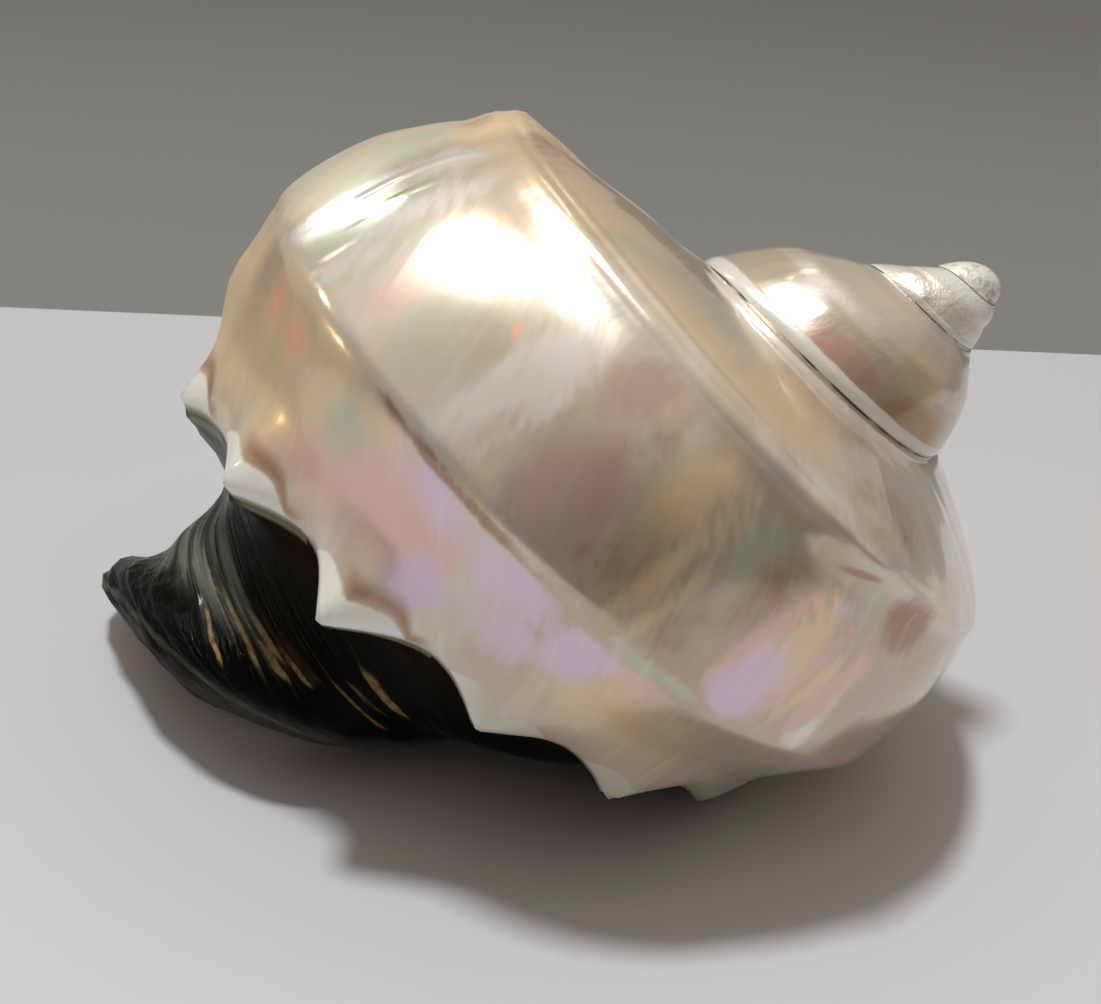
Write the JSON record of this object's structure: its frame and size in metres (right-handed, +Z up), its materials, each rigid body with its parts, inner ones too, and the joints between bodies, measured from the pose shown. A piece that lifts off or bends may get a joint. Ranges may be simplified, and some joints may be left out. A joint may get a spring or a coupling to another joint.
{
  "type": "turban shell",
  "caption": "Large polished green turban sea shell lying mouth down, with keeled pearly whorls, a fluted lower keel and a dark beaked base round a wide open mouth.",
  "frame": {"origin": "centre of the bounding box, on the surface that the shell rests on", "axes": "+Z up from that surface, +X towards the side that the pointed tip is on, +Y away from the side that shows the fluted keel"},
  "size_m": [0.1472, 0.1474, 0.0982],
  "materials": {
    "nacre": "polished mother of pearl, pearly and glossy"
  },
  "bodies": {
    "root": {"shell": "nacre"}
  },
  "joints": []
}
